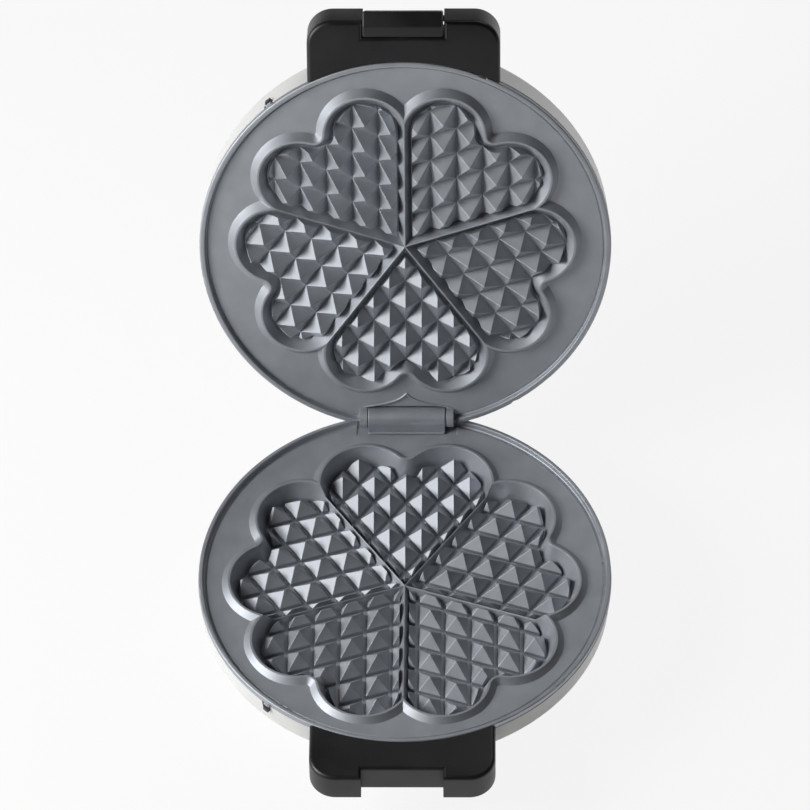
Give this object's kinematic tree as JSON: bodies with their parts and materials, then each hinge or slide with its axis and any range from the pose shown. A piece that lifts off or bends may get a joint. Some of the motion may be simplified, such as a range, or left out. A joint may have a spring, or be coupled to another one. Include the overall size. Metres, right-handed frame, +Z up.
{
  "type": "electric waffle maker",
  "caption": "Round heart-pattern waffle maker standing open: two hinged non-stick plates in a white shell, front grips, latch clip and thermostat knob.",
  "frame": {"origin": "middle of the footprint of the whole open appliance, on the table surface under its feet", "axes": "+Z up, +X to the user's right along the hinge, -Y towards the user and the front grips"},
  "size_m": [0.1904, 0.307, 0.2564],
  "materials": {
    "white_plastic": "satin",
    "grey_plastic": "matt",
    "black_plastic": "fine matt texture",
    "nonstick": "semi-gloss dark grey non-stick coat",
    "steel": "zinc plated",
    "heater_sheath": "satin",
    "reflector_sheet": "bright",
    "rubber": "matt",
    "red_lens": "clear red",
    "green_lens": "clear green",
    "phenolic": "matt"
  },
  "bodies": {
    "base": {"base_shell": "white_plastic", "bottom_cover": "grey_plastic", "rubber_feet": "rubber", "cover_screws": "steel", "lower_plate": "nonstick", "lower_plate_screws": "steel", "lower_element": "heater_sheath", "lower_reflector": "reflector_sheet", "lower_reflector_screw": "steel", "lower_handle": "black_plastic", "lower_handle_screws": "steel", "cord_gland": "black_plastic", "terminal_block": "phenolic", "hinge_pin": "steel"},
    "lid": {"lid_shell": "white_plastic", "upper_plate": "nonstick", "upper_plate_screws": "steel", "screw_plugs": "white_plastic", "upper_element": "heater_sheath", "upper_reflector": "reflector_sheet", "upper_reflector_screw": "steel", "upper_handle": "black_plastic", "upper_handle_screws": "steel", "latch_pin": "steel", "thermostat_body": "phenolic", "thermal_fuse": "steel", "lamp_holders": "phenolic", "red_lamp_lens": "red_lens", "green_lamp_lens": "green_lens"},
    "latch": {"latch_clip": "black_plastic"},
    "knob": {"thermostat_shaft": "steel", "thermostat_knob": "black_plastic"}
  },
  "joints": [
    {"name": "lid_hinge", "type": "hinge", "parent": "base", "child": "lid", "pos_m": [0, 0.05181, 0.047], "axis": [1, 0, 0], "range_deg": [0, 112.6]},
    {"name": "latch_pivot", "type": "hinge", "parent": "lid", "child": "latch", "pos_m": [0, 0.13811, 0.22934], "axis": [1, 0, 0], "range_deg": [0, 18]},
    {"name": "thermostat_turn", "type": "hinge", "parent": "lid", "child": "knob", "pos_m": [0, 0.13995, 0.15958], "axis": [0, 0.9232, -0.3843], "range_deg": [-270, 0]}
  ]
}
